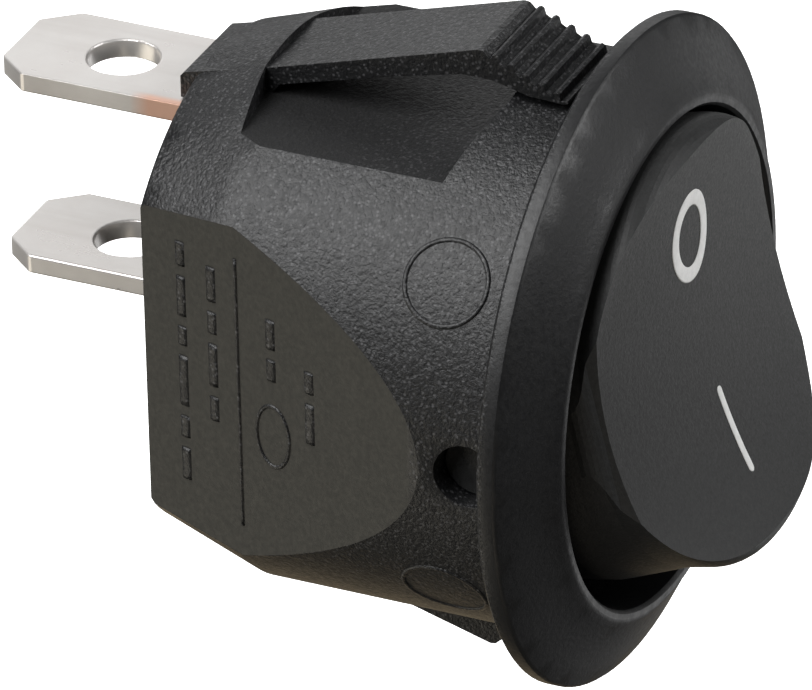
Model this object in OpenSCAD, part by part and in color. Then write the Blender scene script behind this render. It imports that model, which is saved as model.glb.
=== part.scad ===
// Round snap-in panel rocker switch, single pole, two blade terminals.
// Frame: the origin is the centre of the rear face of the bezel flange, on the
// switch axis. The bezel faces -Y, the terminals leave towards +Y, +Z is the
// side of the rocker marked O, and X is the axis that the rocker turns about.
// The rocker is drawn switched off, with its O side pressed in.

/* [Bezel] */
// Outer diameter of the round bezel
bezel_d = 23; // [22:0.1:26]
// Height of the straight rim of the bezel
rim_h = 0.7; // [0.5:0.05:1]
// Height of the inner lip of the bezel over the panel
bezel_h = 2.0; // [1.7:0.05:2.4]
// Diameter of the opening round the rocker
opening_d = 17.2; // [16.9:0.1:17.6]

/* [Body] */
// Diameter of the body that passes through the panel
body_d = 19.75; // [19.4:0.05:20]
// Depth of the body behind the panel
body_len = 14.4; // [14.2:0.1:15.5]
// Where the rear taper of the body starts
taper_y = 10.4; // [9.8:0.1:11]
// Slope of the slanted side flats, in degrees
flat_slope = 16.6; // [14:0.1:17.5]
// Where the side flats start behind the panel
flat_y = 2.8; // [2.4:0.1:3.6]
// Height of the floor of the latch pockets over the axis
pocket_z = 8.25; // [8.1:0.05:8.6]

/* [Latches] */
// Width of a latch arm
arm_w = 3.8; // [3:0.1:4.4]
// Height of the peak of a latch arm over the axis
arm_peak = 11.4; // [11:0.1:11.8]
// Number of ridges on the ramp of a latch arm
ridges = 5; // [3:1:6]

/* [Rocker] */
// Diameter of the rocker's outline
rocker_d = 16; // [15.6:0.1:16.2]
// Angle of the rocker from its middle position, switched off
rest_tilt = 13; // [9:0.5:13]
// Distance of the pivot behind the panel
pivot_y = 1.1; // [0.9:0.05:1.4]
// Radius of the pivot pins
pin_r = 1.07; // [0.9:0.01:1.07]
// Radius of the hollow in the rocker's face
hollow_r = 20; // [14:0.1:40]
// Radius of the crown across the rocker's face
crown_r = 56; // [40:1:400]
// Diameter of the rocker's outline at its face
rocker_face_d = 15.2; // [14.6:0.1:15.6]
// Rounding of the rocker's edges
edge_r = 1.0; // [0.5:0.05:1.3]

/* [Terminals] */
// Width of the blade terminals
tab_w = 4.75; // [4:0.05:4.8]
// Thickness of the blade terminals
tab_t = 0.7; // [0.5:0.05:0.8]
// Distance from the panel to the tips of the blades
tab_end = 21.9; // [20:0.1:24]
// Height of the load terminal over the axis
load_z = 7.0; // [6.6:0.05:7.0]
// Width of the hole in a blade
tab_hole = 2.5; // [1.6:0.1:2.6]

/* [Hidden] */
$fn = 96;
bezel_r = bezel_d / 2;
open_r = opening_d / 2;
body_r = body_d / 2;
rocker_r = rocker_d / 2;
fs = tan(flat_slope);
taper = 0.306;
end_r = body_r - taper * (body_len - taper_y);
wall = 1.2;                 // wall of the body
floor_y = body_len - 1.3;   // inner face of the rear wall
face_y = -4.45;             // middle of the rocker's face, from the pivot
bore_r = 1.52;              // bore for the plunger in the rocker
see_y = 9.4;                // pivot of the moving contact
see_tilt = 8;               // its tilt, switched off
see_len = 5.2;              // half its length
see_t = 0.5;                // its thickness
con_z = 4.6;                // centre of the contact rivet on it
black = [0.10, 0.10, 0.11];
tin = [0.80, 0.78, 0.75];
brass = [0.80, 0.66, 0.36];
silver = [0.86, 0.86, 0.86];

// Solid of revolution about the switch axis, from points [radius, y]
module turned(pts) rotate([-90, 0, 0]) rotate_extrude() polygon(pts);

// Round bar along Y
module ybar(r, y0, y1) translate([0, y0, 0]) rotate([-90, 0, 0])
    cylinder(r = r, h = y1 - y0);

// Plate from points [y, z], w wide in X and centred
module slab(pts, w) rotate([90, 0, 90]) linear_extrude(w, center = true)
    polygon(pts);

// Plate from points [x, y] between two heights
module plan(pts, z0, z1) translate([0, 0, z0]) linear_extrude(z1 - z0)
    polygon(pts);

// What a slanted side flat takes off, at a distance d inside the flat
module side_cut(d) plan([[-body_r + d, flat_y], [-body_r + d + fs * 20, flat_y + 20],
    [-30, flat_y + 20], [-30, flat_y]], -14, 14);

// Pocket round a latch arm
module pocket() plan([[-12, 4.1], [-5.45, 3.75], [-1.9, 2.9], [1.9, 2.9],
    [5.45, 3.75], [12, 4.1], [12, 10.9], [5.2, 11.3], [1.9, 11.8],
    [-1.9, 11.8], [-5.2, 11.3], [-12, 10.9]], pocket_z, 16);

// Points of the ridged ramp, from the peak down to the free end
ramp = [for (i = [0:ridges - 1]) let (p = 2.75 / ridges, y = 3.55 - p * i,
    z = arm_peak - 0.18 - 1.2 * (i + 0.15) / ridges)
    each [[y, z - 0.02], [y - 0.1 * p, z + 0.1], [y - 0.3 * p, z + 0.15],
          [y - 0.5 * p, z + 0.1], [y - 0.62 * p, z - 0.14]]];

// Latch arm on the +Z side, with its root and the ridges of its ramp
module latch() slab(concat([[15.0, 7.4], [15.0, 8.2], [14.85, 8.36], [11.8, 9.15],
    [4.0, arm_peak + 0.02], [3.8, arm_peak]], ramp,
    [[0.78, 10.12], [0.75, 10.04], [0.9, 9.98], [2.2, 10.04], [3.4, 10.36], [4.6, 10.38],
    [7.25, 9.74], [11.3, 8.62], [11.7, 8.1], [13.9, 7.4]]), arm_w);

// Bezel, body and latches, moulded as one piece
module housing() color(black) difference() {
    union() {
        difference() {
            turned([[0, body_len], [end_r - 0.15, body_len], [end_r, body_len - 0.15],
                [body_r, taper_y], [body_r, 0], [bezel_r - 0.12, 0], [bezel_r, -0.12],
                [bezel_r, -rim_h + 0.1], [bezel_r - 0.1, -rim_h - 0.02],
                [open_r + 0.62, -bezel_h + 0.18], [open_r + 0.44, -bezel_h + 0.03],
                [open_r + 0.3, -bezel_h], [open_r + 0.12, -bezel_h], [open_r, -bezel_h + 0.12],
                [0, -bezel_h + 0.12]]);
            for (s = [0, 1]) mirror([s, 0, 0]) side_cut(0);
            for (s = [0, 1]) mirror([0, 0, s]) pocket();
        }
        for (s = [0, 1]) mirror([0, 0, s]) latch();
        // rib under the load terminal and the moulded line on each side flat
        translate([-tab_w / 2 + 0.1, body_len - 0.5, 5.3]) cube([tab_w - 0.2, 1.0, 0.9]);
    }
    // round well for the rocker
    ybar(open_r, -bezel_h - 1, 2.5);
    // contact chamber behind it
    intersection() {
        turned([[0, 2.4], [8.4, 2.4], [8.4, 9.4], [7.6, floor_y], [0, floor_y]]);
        translate([-9, 0, -7]) cube([18, floor_y, 14]);
        difference() {
            translate([-9, 0, -9]) cube([18, 20, 18]);
            for (s = [0, 1]) mirror([s, 0, 0]) side_cut(wall);
        }
    }
    // room for the foot of the load terminal
    translate([-2.7, 11.5, 5]) cube([5.4, floor_y - 11.5, load_z + tab_t / 2 - 5]);
    // slots for the two blades
    for (z = [0, load_z]) translate([-tab_w / 2, floor_y - 1, z - tab_t / 2])
        cube([tab_w, 4, tab_t]);
    // pivot holes
    translate([-12, pivot_y, 0]) rotate([0, 90, 0]) cylinder(r = pin_r + 0.07, h = 24, $fn = 64);
}

// The rocker's parts are drawn about its pivot in the middle position,
// and this turns them to the off position
module at_rocker() translate([0, pivot_y, 0]) rotate([-rest_tilt, 0, 0]) children();

// Side outline of the rocker
module rocker_profile() polygon([[-8, -rocker_r], [-1.0, -rocker_r], [-0.4, -6.7],
    [2.0, -6.2], [2.0, 6.2], [-0.4, 6.7], [-1.0, rocker_r], [-8, rocker_r]]);

// What the face takes off: hollow from top to bottom and crowned from side to side
module face_cut() translate([0, face_y - hollow_r, 0]) rotate([0, 90, 0])
    rotate_extrude($fn = 360) difference() {
        translate([0, -10]) square([hollow_r + 4, 20]);
        translate([hollow_r + crown_r, 0]) circle(r = crown_r, $fn = 720);
    }

// Round outline of the rocker, which tapers to its face and has a rounded edge
// as high as the ends of the hollow face
face_r = rocker_face_d / 2;
end_y = face_y - hollow_r + sqrt(hollow_r * hollow_r - (face_r - 0.6) * (face_r - 0.6));
module rocker_outline() turned(concat([[0, 4], [rocker_r, 4], [rocker_r, -1.2], [face_r, -3.6]],
    [for (a = [0:10:90]) [face_r - edge_r + edge_r * cos(a), end_y + edge_r - edge_r * sin(a)]],
    [[0, end_y]]));

side_y = face_y + crown_r - sqrt(crown_r * crown_r - (face_r - 0.5) * (face_r - 0.5));
// The same rounding along the rocker's two sides, at the height of the middle of the face
module rocker_sides() translate([0, 0, -10]) linear_extrude(20) polygon(concat(
    [[-rocker_r, 4], [rocker_r, 4], [rocker_r, -1.2], [face_r, -3.0]],
    [for (a = [10:10:60]) [face_r - edge_r + edge_r * cos(a), side_y + edge_r - edge_r * sin(a)]],
    [for (s = [1, -1]) [s * (face_r - 2.2), -6.5]],
    [for (a = [60:-10:10]) [-face_r + edge_r - edge_r * cos(a), side_y + edge_r - edge_r * sin(a)]],
    [[-face_r, -3.0], [-rocker_r, -1.2]]));

// Rocker with its pivot pins and the tube for the plunger
module rocker() color(black) at_rocker() difference() {
    union() {
        difference() {
            intersection() {
                rotate([90, 0, 90]) linear_extrude(20, center = true) rocker_profile();
                rocker_outline();
                rocker_sides();
            }
            face_cut();
            intersection() {
                turned([[0, 5], [6.8, 5], [6.8, -1.2], [6.3, -3.1], [0, -3.1]]);
                translate([-9, -3.2, -6.1]) cube([18, 9, 12.2]);
            }
        }
        ybar(2.4, -3.4, 5.0);
        for (s = [-1, 1]) translate([0, 0, 0]) rotate([0, 90 * s, 0])
            translate([0, 0, rocker_r - 0.6]) cylinder(r = pin_r, h = 1.6, $fn = 64);
        // webs from the tube to the side walls
        for (s = [-1, 1]) translate([s > 0 ? 2 : -7.2, -3.3, -0.6]) cube([5.2, 4.3, 1.2]);
    }
    ybar(bore_r, -1.8, 6);
}

// Spring-loaded plunger in the rocker's tube
module plunger() color([0.85, 0.84, 0.80]) at_rocker() union() {
    turned([[0, 2.8], [1.35, 2.8], [1.45, 2.9], [1.45, 6.0], [1.0, 6.6], [1.0, 6.98], [0, 6.98]]);
    translate([0, 6.98, 0]) sphere(r = 1.0, $fn = 48);
}

// Coil spring behind the plunger, as a stack of closed turns on a core line
module spring() color(silver) at_rocker() union() {
    for (i = [0:5]) translate([0, -1.61 + 0.84 * i, 0]) rotate([-90, 0, 0])
        rotate_extrude($fn = 48) translate([1.15, 0]) circle(r = 0.19, $fn = 16);
    // the slanted length of wire that leads from turn to turn
    for (i = [0:4]) translate([1.15, -1.61 + 0.84 * i, 0]) rotate([-90, 0, 0])
        cylinder(r = 0.15, h = 0.84, $fn = 16);
}

// Turns a shape drawn about the see-saw's pivot to the off position
module at_see() translate([0, see_y, 0]) rotate([see_tilt, 0, 0]) children();

// See-saw strip that the plunger pushes
module moving_contact() color(brass) at_see() difference() {
    union() {
        translate([-1.6, -see_t / 2, -see_len]) cube([3.2, see_t, 2 * see_len]);
        for (s = [-1, 1]) translate([s * 1.6 - (s > 0 ? 0.4 : 0), -see_t / 2 - 0.5, -1.2])
            cube([0.4, 0.6, 2.4]);
    }
    translate([0, -1, con_z - 0.4]) rotate([-90, 0, 0]) cylinder(r = 0.6, h = 2, $fn = 48);
}

// Silver contact riveted through the strip
module moving_contact_rivet() color(silver) at_see() translate([0, 0, con_z - 0.4]) union() {
    ybar(0.6, -see_t / 2, see_t / 2);
    ybar(0.85, -see_t / 2 - 0.2, -see_t / 2);
    ybar(1.1, see_t / 2, see_t / 2 + 0.5);
}

// Outline of a blade with cut corners at its tip
module blade(y0) difference() {
    plan([[-tab_w / 2, y0], [-tab_w / 2, tab_end - 1.15], [-tab_w / 2 + 0.95, tab_end],
        [tab_w / 2 - 0.95, tab_end], [tab_w / 2, tab_end - 1.15], [tab_w / 2, y0]],
        -tab_t / 2, tab_t / 2);
    translate([0, tab_end - 3.85, -2]) cylinder(r = tab_hole / 2, h = 4, $fn = 64);
}

// Middle blade: its inner end carries the see-saw
module common_terminal() color(tin) blade(see_y + see_t / 2 + 0.1);

// Outer blade: its inner end is bent towards the see-saw
module load_terminal() color(tin) difference() {
    union() {
        translate([0, 0, load_z]) blade(11.7);
        translate([-tab_w / 2, 11.7, 3.3]) cube([tab_w, 0.7, load_z - 3.3]);
        // small lug under the near edge, just outside the body
        translate([-tab_w / 2, body_len + 0.05, load_z - tab_t / 2 - 0.65]) cube([0.5, 0.6, 0.7]);
    }
    translate([0, 11, con_z - 0.4]) rotate([-90, 0, 0]) cylinder(r = 0.6, h = 2, $fn = 48);
}

// Silver contact riveted through the foot of the load terminal
module fixed_contact_rivet() color(silver) translate([0, 0, con_z - 0.4]) union() {
    ybar(1.1, 11.0, 11.7);
    ybar(0.6, 11.7, 12.4);
    ybar(0.85, 12.4, 12.65);
}

housing();
rocker();
plunger();
spring();
moving_contact();
moving_contact_rivet();
common_terminal();
load_terminal();
fixed_contact_rivet();
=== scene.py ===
import math

import bmesh
import bpy
from mathutils import Matrix, Vector


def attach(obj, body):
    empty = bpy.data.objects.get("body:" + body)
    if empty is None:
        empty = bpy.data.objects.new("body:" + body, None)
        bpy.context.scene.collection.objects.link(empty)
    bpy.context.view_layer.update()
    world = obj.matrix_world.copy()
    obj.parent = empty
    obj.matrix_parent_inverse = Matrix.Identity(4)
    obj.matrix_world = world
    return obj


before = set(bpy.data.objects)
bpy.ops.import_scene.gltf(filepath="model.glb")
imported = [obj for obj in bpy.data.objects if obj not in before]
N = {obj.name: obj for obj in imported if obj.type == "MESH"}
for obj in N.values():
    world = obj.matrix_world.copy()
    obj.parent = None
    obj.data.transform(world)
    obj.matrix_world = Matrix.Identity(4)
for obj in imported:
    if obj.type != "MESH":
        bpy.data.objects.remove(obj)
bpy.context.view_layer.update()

MM = 0.001
scene = bpy.context.scene
scene.view_settings.view_transform = "Standard"
scene.view_settings.look = "None"

# ---------------------------------------------------------------- sizes (mm)
BODY_R, OPEN_R, BEZEL_H = 9.875, 8.6, 2.0
FLAT_Y, FLAT_SLOPE = 2.8, math.radians(16.6)
PIVOT_Y, TILT, FACE_Y, HOLLOW_R, CROWN_R = 1.1, math.radians(13), -4.45, 20.0, 56.0


# ---------------------------------------------------------------- materials
class Mat:
    """A small helper that builds a node material in object coordinates."""

    def __init__(self, name):
        self.m = bpy.data.materials.new(name)
        self.m.use_nodes = True
        self.t = self.m.node_tree
        self.b = self.t.nodes["Principled BSDF"]
        self.co = self.t.nodes.new("ShaderNodeTexCoord").outputs["Object"]
        self.h = None

    def node(self, kind, ins=None, **attrs):
        n = self.t.nodes.new(kind)
        for k, v in attrs.items():
            setattr(n, k, v)
        for k, v in (ins or {}).items():
            s = n.inputs[k]
            if isinstance(v, bpy.types.NodeSocket):
                self.t.links.new(v, s)
            else:
                s.default_value = v
        return n

    def noise(self, scale, detail=4.0, rough=0.55, co=None, dist=0.0):
        return self.node("ShaderNodeTexNoise", {"Vector": co or self.co, "Scale": scale, "Detail": detail,
                                                "Roughness": rough, "Distortion": dist}).outputs["Fac"]

    def math(self, op, a, b=0.0, c=0.0, clamp=False):
        return self.node("ShaderNodeMath", {0: a, 1: b, 2: c}, operation=op, use_clamp=clamp).outputs[0]

    def remap(self, v, a, b, c, d, kind="LINEAR"):
        return self.node("ShaderNodeMapRange", {"Value": v, "From Min": a, "From Max": b, "To Min": c, "To Max": d},
                         clamp=True, interpolation_type=kind).outputs["Result"]

    def mix(self, f, a, b):
        n = self.node("ShaderNodeMix", {}, data_type="RGBA")
        for s, v in ((n.inputs[0], f), (n.inputs[6], a), (n.inputs[7], b)):
            if isinstance(v, bpy.types.NodeSocket):
                self.t.links.new(v, s)
            else:
                s.default_value = v
        return n.outputs[2]

    def xyz(self, v):
        return self.node("ShaderNodeSeparateXYZ", {0: v}).outputs

    def stretch(self, sx, sy, sz):
        return self.node("ShaderNodeMapping", {"Vector": self.co, "Scale": (sx, sy, sz)}).outputs["Vector"]

    def bump(self, height, strength, distance):
        ins = {"Height": height, "Strength": strength, "Distance": distance}
        if self.h is not None:
            ins["Normal"] = self.h
        self.h = self.node("ShaderNodeBump", ins).outputs["Normal"]

    def set(self, **kw):
        names = {"color": "Base Color", "metal": "Metallic", "rough": "Roughness", "spec": "Specular IOR Level",
                 "coat": "Coat Weight", "coat_rough": "Coat Roughness", "ior": "IOR"}
        for k, v in kw.items():
            s = self.b.inputs[names[k]]
            if isinstance(v, bpy.types.NodeSocket):
                self.t.links.new(v, s)
            else:
                s.default_value = v
        if self.h is not None:
            self.t.links.new(self.h, self.b.inputs["Normal"])
        return self.m

    def edges(self, lo=0.52, hi=0.60):
        """1 on sharp outside edges, 0 on flat areas."""
        g = self.t.nodes.new("ShaderNodeNewGeometry")
        return self.remap(g.outputs["Pointiness"], lo, hi, 0.0, 1.0)


def housing_material():
    m = Mat("housing_nylon")
    x, y, z = m.xyz(m.co)
    g = m.t.nodes.new("ShaderNodeNewGeometry")
    nx, ny, nz = m.xyz(g.outputs["True Normal"])
    # the slanted side flats are smoother than the eroded texture round them
    d = m.math("ADD", m.math("MULTIPLY", m.math("ABSOLUTE", nx), math.cos(FLAT_SLOPE)),
               m.math("MULTIPLY", ny, math.sin(FLAT_SLOPE)))
    flat = m.math("MULTIPLY", m.remap(d, 0.9985, 0.9995, 0.0, 1.0), m.remap(y, 0.0031, 0.0033, 0.0, 1.0))
    front = m.remap(y, -0.0001, -0.0003, 0.0, 1.0)
    rough_area = m.math("MULTIPLY", m.math("SUBTRACT", 1.0, flat), m.math("SUBTRACT", 1.0, front))
    grain = m.noise(5200, 3.0, 0.6)
    grit = m.noise(11000, 2.0, 0.5)
    big = m.noise(260, 3.0, 0.5)
    # painted highlight: light grey specks in the colour of the rough areas stand in for the glints of the surface's
    # sparkle
    spark = m.node("ShaderNodeTexVoronoi", {"Vector": m.co, "Scale": 5600.0}).outputs["Distance"]
    painted_glint_specks = m.remap(spark, 0.12, 0.40, 1.0, 0.0, "SMOOTHSTEP")
    base = m.mix(m.remap(big, 0.35, 0.65, 0.0, 1.0), (0.0042, 0.0044, 0.0050, 1), (0.0068, 0.0070, 0.0078, 1))
    base = m.mix(m.math("MULTIPLY", m.math("MULTIPLY", painted_glint_specks, rough_area), 0.40), base, (0.118, 0.118, 0.123, 1))
    base = m.mix(m.math("MULTIPLY", flat, 0.85), base, (0.0150, 0.0148, 0.0118, 1))
    # painted shade: the level pocket floors under the arms are darkened in the colour where the arms shade them, less
    # towards the front, and are made rougher
    painted_pocket_shade = m.math("MULTIPLY", m.remap(m.math("ABSOLUTE", nz), 0.985, 0.998, 0.0, 1.0),
                  m.remap(m.math("ABSOLUTE", z), 0.00835, 0.00828, 0.0, 1.0))
    painted_pocket_shade = m.math("MULTIPLY", painted_pocket_shade, m.remap(y, 0.0050, 0.0085, 0.35, 1.0))
    base = m.mix(m.math("MULTIPLY", painted_pocket_shade, 0.85), base, (0.0012, 0.0012, 0.0014, 1))
    rough = m.math("ADD", m.remap(grain, 0.3, 0.7, 0.40, 0.54), m.math("MULTIPLY", flat, 0.10))
    rough = m.math("SUBTRACT", m.math("ADD", rough, m.math("MULTIPLY", painted_pocket_shade, 0.25)), m.math("MULTIPLY", m.edges(), 0.12))
    height = m.math("ADD", m.math("MULTIPLY", grain, 0.7), m.math("MULTIPLY", grit, 0.3))
    m.bump(big, 0.25, 0.00006)
    m.bump(height, m.remap(rough_area, 0.0, 1.0, 0.20, 0.9), 0.00007)
    return m.set(color=base, rough=rough, spec=0.5)


def rocker_material():
    m = Mat("rocker_nylon")
    grain = m.noise(5200, 3.0, 0.65)
    fine = m.noise(12000, 2.0, 0.5)
    big = m.noise(180, 2.0, 0.5)
    base = m.mix(m.remap(grain, 0.35, 0.65, 0.0, 1.0), (0.0120, 0.0124, 0.0125, 1), (0.0200, 0.0205, 0.0205, 1))
    base = m.mix(m.math("MULTIPLY", m.remap(big, 0.35, 0.7, 0.0, 1.0), 0.25), base, (0.022, 0.022, 0.0215, 1))
    rough = m.remap(fine, 0.3, 0.7, 0.50, 0.64)
    rough = m.math("SUBTRACT", rough, m.math("MULTIPLY", m.edges(), 0.10))
    m.bump(grain, 0.42, 0.00004)
    m.bump(fine, 0.25, 0.00002)
    return m.set(color=base, rough=rough, spec=0.45)


def print_material():
    m = Mat("white_print")
    v = m.noise(3500, 3.0, 0.6)
    base = m.mix(m.remap(v, 0.35, 0.65, 0.0, 1.0), (0.80, 0.80, 0.79, 1), (0.90, 0.90, 0.89, 1))
    m.bump(m.noise(5200, 3.0, 0.65), 0.30, 0.00003)
    return m.set(color=base, rough=m.remap(v, 0.3, 0.7, 0.42, 0.56), spec=0.4)


def tin_material():
    m = Mat("terminal_tin")
    x, y, z = m.xyz(m.co)
    streak = m.noise(900, 4.0, 0.6, m.stretch(1.0, 0.08, 1.0))
    cloud = m.noise(420, 4.0, 0.55)
    fine = m.noise(9000, 2.0, 0.5)
    base = m.mix(m.remap(cloud, 0.3, 0.7, 0.0, 1.0), (0.58, 0.555, 0.535, 1), (0.68, 0.66, 0.64, 1))
    base = m.mix(m.math("MULTIPLY", m.remap(streak, 0.5, 0.75, 0.0, 1.0), 0.30), base, (0.48, 0.44, 0.41, 1))
    # bare copper alloy where the plating ends, at the near edge of the outer blade's root
    spot = m.math("MULTIPLY", m.remap(y, 0.0167, 0.0160, 0.0, 1.0), m.remap(x, -0.00195, -0.00220, 0.0, 1.0))
    spot = m.math("MULTIPLY", spot, m.remap(z, 0.003, 0.004, 0.0, 1.0))
    spot = m.math("MULTIPLY", spot, m.remap(m.noise(1500, 3.0, 0.6), 0.15, 0.34, 0.0, 1.0))
    base = m.mix(m.math("MULTIPLY", spot, 0.8), base, (0.72, 0.40, 0.28, 1))
    rough = m.math("ADD", m.remap(cloud, 0.3, 0.7, 0.24, 0.36), m.math("MULTIPLY", m.remap(streak, 0.4, 0.7, 0.0, 1.0), 0.08))
    m.bump(streak, 0.12, 0.00003)
    m.bump(fine, 0.10, 0.00001)
    return m.set(color=base, metal=0.62, rough=rough)


def plain_metal(name, a, b, r0, r1, metal=1.0):
    m = Mat(name)
    v = m.noise(1300, 4.0, 0.6)
    s = m.noise(2600, 3.0, 0.5, m.stretch(1.0, 1.0, 0.06))
    m.bump(s, 0.12, 0.00002)
    return m.set(color=m.mix(m.remap(v, 0.3, 0.7, 0.0, 1.0), a, b), metal=metal,
                 rough=m.remap(s, 0.3, 0.7, r0, r1))


def acetal_material():
    m = Mat("plunger_plastic")
    v = m.noise(900, 3.0, 0.5)
    m.bump(m.noise(5000, 2.0, 0.5), 0.15, 0.00002)
    return m.set(color=m.mix(m.remap(v, 0.3, 0.7, 0.0, 1.0), (0.72, 0.70, 0.64, 1), (0.80, 0.78, 0.73, 1)),
                 rough=m.remap(v, 0.3, 0.7, 0.36, 0.46), spec=0.5)


def floor_material():
    m = Mat("floor_pale")
    v = m.noise(30, 3.0, 0.5)
    return m.set(color=m.mix(m.remap(v, 0.3, 0.7, 0.0, 1.0), (0.93, 0.93, 0.93, 1), (0.95, 0.95, 0.95, 1)),
                 rough=0.9, spec=0.1)


HOUSING = housing_material()
ROCKER = rocker_material()
PRINT = print_material()
TIN = tin_material()
BRASS = plain_metal("contact_brass", (0.62, 0.45, 0.20, 1), (0.72, 0.55, 0.27, 1), 0.28, 0.42)
SILVER = plain_metal("contact_silver", (0.80, 0.80, 0.79, 1), (0.88, 0.88, 0.87, 1), 0.20, 0.34)
STEEL = plain_metal("spring_steel", (0.52, 0.52, 0.53, 1), (0.64, 0.64, 0.65, 1), 0.22, 0.34)
ACETAL = acetal_material()

for node, mat in {"housing": HOUSING, "rocker": ROCKER, "plunger": ACETAL, "spring": STEEL,
                  "moving_contact": BRASS, "moving_contact_rivet": SILVER, "common_terminal": TIN,
                  "load_terminal": TIN, "fixed_contact_rivet": SILVER}.items():
    o = N[node]
    if not o.data.materials:
        o.data.materials.append(mat)
    for i in range(len(o.data.materials)):
        o.material_slots[i].link = "OBJECT"
        o.material_slots[i].material = mat


# ---------------------------------------------------------------- modifiers
def bevel(node, width, segments=3, angle=28.0):
    o = N[node]
    w = o.modifiers.new("weld", "WELD")
    w.merge_threshold = 0.000002
    b = o.modifiers.new("edge_round", "BEVEL")
    b.width = width * MM
    b.segments = segments
    b.limit_method = "ANGLE"
    b.angle_limit = math.radians(angle)
    b.miter_outer = "MITER_ARC"
    b.harden_normals = False
    s = o.modifiers.new("smooth_by_angle", "WEIGHTED_NORMAL")
    s.keep_sharp = True


bevel("common_terminal", 0.09)
bevel("load_terminal", 0.09)
bevel("housing", 0.07, 2, 30.0)


# ---------------------------------------------------------------- new pieces
def make(name, verts, faces, mat, body, smooth=True):
    me = bpy.data.meshes.new(name)
    me.from_pydata([tuple(c * MM for c in v) for v in verts], [], faces)
    me.update()
    bm = bmesh.new()
    bm.from_mesh(me)
    bmesh.ops.recalc_face_normals(bm, faces=bm.faces)
    bm.to_mesh(me)
    bm.free()
    for p in me.polygons:
        p.use_smooth = smooth
    me.materials.append(mat)
    o = bpy.data.objects.new(name, me)
    scene.collection.objects.link(o)
    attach(o, body)
    return o


def loft(rings, closed_ring=True, closed_path=False, caps=True):
    """Faces and points of a skin over rings that all have the same number of points."""
    n = len(rings[0])
    verts = [p for r in rings for p in r]
    faces = []
    m = len(rings)
    for i in range(m if closed_path else m - 1):
        a, b = i * n, ((i + 1) % m) * n
        for j in range(n if closed_ring else n - 1):
            k = (j + 1) % n
            faces.append((a + j, a + k, b + k, b + j))
    if caps and not closed_path:
        faces.append(tuple(range(n - 1, -1, -1)))
        faces.append(tuple(range((m - 1) * n, m * n)))
    return verts, faces


def face_point(x, zc, lift):
    """A point lift mm over the rocker's face, at x and height zc in the rocker's middle position."""
    rad = HOLLOW_R + CROWN_R - math.sqrt(CROWN_R ** 2 - x ** 2)
    yc = FACE_Y - HOLLOW_R + math.sqrt(rad ** 2 - zc ** 2)
    c, s = math.cos(-TILT), math.sin(-TILT)
    ny, nz = -math.sqrt(HOLLOW_R ** 2 - zc ** 2) / HOLLOW_R, -zc / HOLLOW_R
    # the hollow's centre is in front of the face, so the way out is towards it
    yc, zc = yc + lift * ny, zc + lift * nz
    return (x, PIVOT_Y + yc * c - zc * s, yc * s + zc * c)


def ribbon(name, path, half, closed, mat):
    """A thin printed band along path, a list of (x, z) with unit normals (nx, nz), as a low crowned ridge."""
    rings = []
    for (x, z), (nx, nz), h in [(p, q, half) for p, q in path]:
        ring = []
        for u, lift in ((-1.0, -0.01), (-1.0, 0.012), (-0.8, 0.022), (0.0, 0.026), (0.8, 0.022), (1.0, 0.012), (1.0, -0.01)):
            ring.append(face_point(x + nx * u * h, z + nz * u * h, lift))
        rings.append(ring)
    v, f = loft(rings, True, closed, True)
    return make(name, v, f, mat, "rocker")


# the O: an upright oval, centred on the upper half of the face
O_C, O_A, O_B, O_W = (0.0, 3.85), 1.16, 1.33, 0.26
path = []
for i in range(96):
    a = 2 * math.pi * i / 96
    x, z = O_A * math.cos(a), O_B * math.sin(a)
    n = Vector((math.cos(a) / O_A, math.sin(a) / O_B)).normalized()
    path.append(((O_C[0] + x, O_C[1] + z), (n.x, n.y)))
ribbon("print_o", path, O_W, True, PRINT)

# the I: an upright bar with round ends on the lower half
I_Z0, I_Z1, I_W = -4.95, -1.75, 0.16
rings = []
steps = 40
for i in range(steps + 1):
    t = i / steps
    z = I_Z0 + (I_Z1 - I_Z0) * (0.5 - 0.5 * math.cos(math.pi * t))
    e = min(z - I_Z0, I_Z1 - z)
    h = I_W if e >= I_W else math.sqrt(max(I_W ** 2 - (I_W - e) ** 2, 1e-5))
    rings.append([face_point(u * h, z, l) for u, l in ((-1, -0.01), (-1, 0.012), (-0.8, 0.022), (0, 0.026),
                                                       (0.8, 0.022), (1, 0.012), (1, -0.01))])
v, f = loft(rings)
make("print_i", v, f, PRINT, "rocker")


def raised(name, pts, normals, half, high, closed, body="body"):
    """A low moulded ridge along 3-D points that lie on a surface with the given outward normals."""
    rings = []
    n = len(pts)
    for i in range(n):
        p = Vector(pts[i])
        a = Vector(pts[(i - 1) % n] if closed or i > 0 else pts[i])
        b = Vector(pts[(i + 1) % n] if closed or i < n - 1 else pts[i])
        t = (b - a).normalized()
        nn = Vector(normals[i]).normalized()
        side = t.cross(nn).normalized()
        rings.append([tuple(p + side * u * half + nn * h * high) for u, h in
                      ((-1.15, -0.6), (-1.0, 0.15), (-0.6, 0.85), (0.0, 1.0), (0.6, 0.85), (1.0, 0.15), (1.15, -0.6))])
    v, f = loft(rings, True, closed)
    return make(name, v, f, HOUSING, body)


def cyl_ring(name, y0, ang, r, half=0.085, high=0.05):
    """A plain ring moulded on the body's cylinder, centred at depth y0 and angle ang from -X towards +Z."""
    pts, nrm = [], []
    for i in range(64):
        a = 2 * math.pi * i / 64
        y = y0 + r * math.sin(a)
        q = ang + r * math.cos(a) / BODY_R
        nv = (-math.cos(q), 0.0, math.sin(q))
        pts.append((BODY_R * nv[0], y, BODY_R * nv[2]))
        nrm.append(nv)
    return raised(name, pts, nrm, half, high, True)


A0 = math.atan2(5.99, 7.85)
cyl_ring("moulded_ring_upper", 2.55, A0, 1.46)
cyl_ring("moulded_ring_lower", 2.75, math.atan2(-5.65, 8.10), 1.46)

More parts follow.
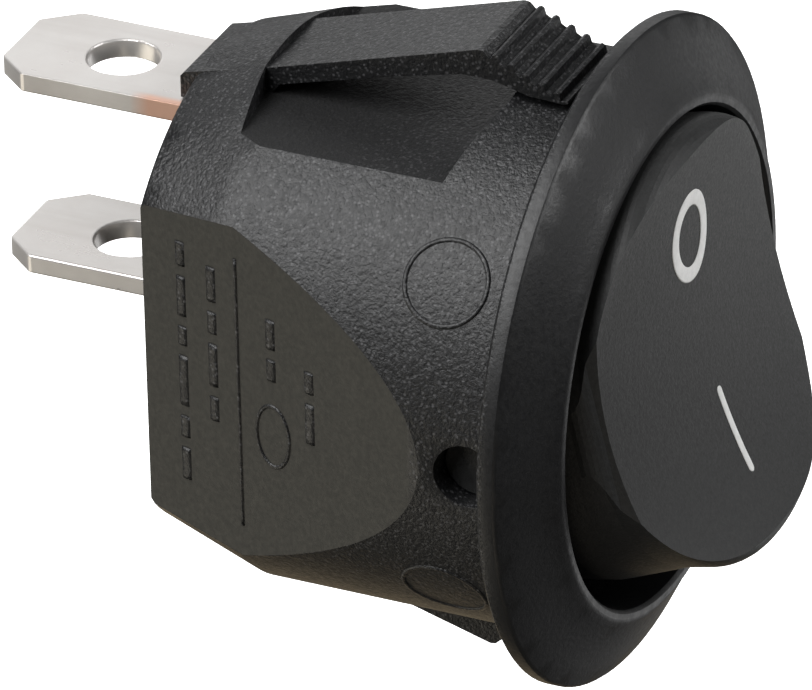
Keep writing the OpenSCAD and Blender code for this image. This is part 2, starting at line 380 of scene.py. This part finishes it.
# the divider line on each slanted side flat
for side, s in (("left", -1), ("right", 1)):
    nv = Vector((s * math.cos(FLAT_SLOPE), math.sin(FLAT_SLOPE), 0.0))
    x0 = BODY_R - math.tan(FLAT_SLOPE) * (10.38 - FLAT_Y)
    pts = [(s * x0, 10.38, -5.1 + 10.2 * i / 30) for i in range(31)]
    raised("moulded_rule_" + side, pts, [nv] * 31, 0.07, 0.05, False)



def flat_bar(name, side, y, z0, z1, half):
    """A low moulded bar with soft ends on a side flat, from height z0 to z1."""
    s = -1 if side == "left" else 1
    nv = Vector((s * math.cos(FLAT_SLOPE), math.sin(FLAT_SLOPE), 0.0))
    x0 = BODY_R - math.tan(FLAT_SLOPE) * (y - FLAT_Y)
    n = 8
    pts = [(s * x0, y, z0 + (z1 - z0) * i / n) for i in range(n + 1)]
    return raised(name, pts, [nv] * (n + 1), half, 0.05, False)


ROWS = ((12.75, 4.9, (0.9, 1.5, 0.7, 1.9, 0.8, 1.2)), (11.45, 4.4, (1.3, 0.8, 1.6, 0.9)), (8.95, 3.3, (1.1, 0.8)),
        (7.35, 1.9, (0.8, 1.5)))
for side in ("left", "right"):
    k = 0
    for y, z, lens in ROWS:
        for L in lens:
            flat_bar("moulded_bar_%s_%02d" % (side, k), side, y, z, z - L, 0.20)
            z -= L + 0.42
            k += 1

# a plain oval frame under the third row
for side, s in (("left", -1), ("right", 1)):
    nv = Vector((s * math.cos(FLAT_SLOPE), math.sin(FLAT_SLOPE), 0.0))
    t = Vector((-s * math.sin(FLAT_SLOPE), math.cos(FLAT_SLOPE), 0.0))
    c0 = Vector((s * (BODY_R - math.tan(FLAT_SLOPE) * (8.95 - FLAT_Y)), 8.95, -1.15))
    pts = [c0 + t * (0.72 * math.cos(2 * math.pi * i / 40)) + Vector((0, 0, 1.15 * math.sin(2 * math.pi * i / 40))) for i in range(40)]
    raised("moulded_oval_" + side, pts, [nv] * 40, 0.07, 0.05, True)

# ---------------------------------------------------------------- stage
def stage_mesh(name, fill, mat):
    me = bpy.data.meshes.new(name)
    bm = bmesh.new()
    fill(bm)
    bm.to_mesh(me)
    bm.free()
    me.materials.append(mat)
    o = bpy.data.objects.new(name, me)
    scene.collection.objects.link(o)
    # the stage is seen, but the light on the object comes from the lamps
    o.visible_diffuse = False
    o.visible_glossy = False
    o.visible_transmission = False
    o.visible_shadow = False
    return o


def glow(name, strength):
    m = floor_material() if name == "floor_pale" else Mat(name).set(color=(0.95, 0.95, 0.95, 1), rough=0.9)
    b = m.node_tree.nodes["Principled BSDF"]
    b.inputs["Emission Color"].default_value = (1.0, 1.0, 1.0, 1)
    b.inputs["Emission Strength"].default_value = strength
    return m


floor = stage_mesh("floor", lambda bm: bmesh.ops.create_grid(bm, x_segments=8, y_segments=8, size=1.6), glow("floor_pale", 0.86))
floor.location = (0, 0, -0.055)
stage_mesh("backdrop", lambda bm: bmesh.ops.create_icosphere(bm, subdivisions=3, radius=3.0), glow("backdrop_white", 0.97))

w = bpy.data.worlds.new("studio")
scene.world = w
w.use_nodes = True
bg = w.node_tree.nodes["Background"]
bg.inputs["Color"].default_value = (1.0, 1.0, 1.0, 1)
bg.inputs["Strength"].default_value = 0.05


def softbox(name, direction, distance, size, power, color=(1, 1, 1)):
    d = bpy.data.lights.new(name, "AREA")
    d.shape = "RECTANGLE"
    d.size, d.size_y = size
    d.energy = power
    d.color = color
    o = bpy.data.objects.new(name, d)
    p = Vector(direction).normalized() * distance
    o.location = p
    o.rotation_euler = (-p).to_track_quat("-Z", "Y").to_euler()
    scene.collection.objects.link(o)
    return o


softbox("key_top_back", (-0.46, 0.46, 0.76), 0.42, (0.40, 0.40), 2.9)
softbox("right_back", (0.80, 0.46, 0.36), 0.42, (0.36, 0.30), 0.36)
softbox("right_front_low", (0.79, -0.42, -0.42), 0.42, (0.30, 0.30), 0.30)
softbox("front_soft", (0.30, -0.80, 0.52), 0.50, (0.26, 0.26), 1.6)
softbox("brown_back_low", (-0.45, 0.72, -0.50), 0.40, (0.30, 0.26), 0.40, (1.0, 0.93, 0.78))
softbox("left_low", (-0.60, -0.45, -0.62), 0.42, (0.26, 0.26), 0.18, (1.0, 0.90, 0.74))
softbox("brown_below", (0.55, 0.35, -0.75), 0.40, (0.24, 0.24), 0.10, (1.0, 0.78, 0.48))

# ---------------------------------------------------------------- camera
AZ, EL, ROLL = -1.1292, 0.5152, -0.0247
DIST, TX, TY, FPX = 393.6441, -7.0369, 0.0743, 11758.1355
b = Vector((math.sin(AZ) * math.cos(EL), -math.cos(AZ) * math.cos(EL), math.sin(EL)))
r = Vector((math.cos(AZ), math.sin(AZ), 0.0))
u = b.cross(r)
c, s = math.cos(ROLL), math.sin(ROLL)
r2, u2 = r * c + u * s, u * c - r * s
pos = (b * DIST + r2 * TX + u2 * TY) * MM
cam_data = bpy.data.cameras.new("camera")
cam_data.sensor_width = 36.0
cam_data.sensor_fit = "HORIZONTAL"
cam_data.lens = FPX / 812.0 * 36.0
cam_data.clip_start = 0.01
cam_data.clip_end = 20.0
cam = bpy.data.objects.new("camera", cam_data)
cam.matrix_world = Matrix(((r2.x, u2.x, b.x, pos.x), (r2.y, u2.y, b.y, pos.y), (r2.z, u2.z, b.z, pos.z), (0, 0, 0, 1)))
scene.collection.objects.link(cam)
scene.camera = cam
